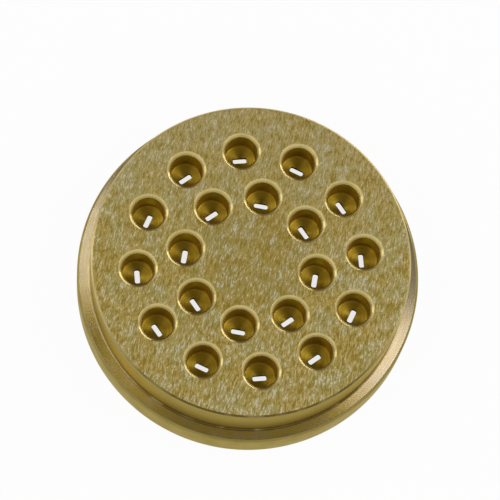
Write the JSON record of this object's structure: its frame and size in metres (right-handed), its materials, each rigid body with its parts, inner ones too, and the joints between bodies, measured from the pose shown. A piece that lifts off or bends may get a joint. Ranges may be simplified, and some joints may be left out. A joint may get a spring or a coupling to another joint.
{
  "type": "pasta extrusion die",
  "caption": "Round one-piece brass pasta die: a stepped disc with a clamping flange, countersunk outlet bores in rings, a flat slot in each bore's floor and a dough chamber behind.",
  "frame": {"origin": "centre of the flange's back face, on the die's axis", "axes": "+Z along the die's axis, from the back towards the outlet face; +X through a bore of each circle"},
  "size_m": [0.078, 0.078, 0.022],
  "materials": {
    "brass": "brushed outlet face, fine turned sides, drilled bores"
  },
  "bodies": {
    "root": {"die": "brass"}
  },
  "joints": []
}
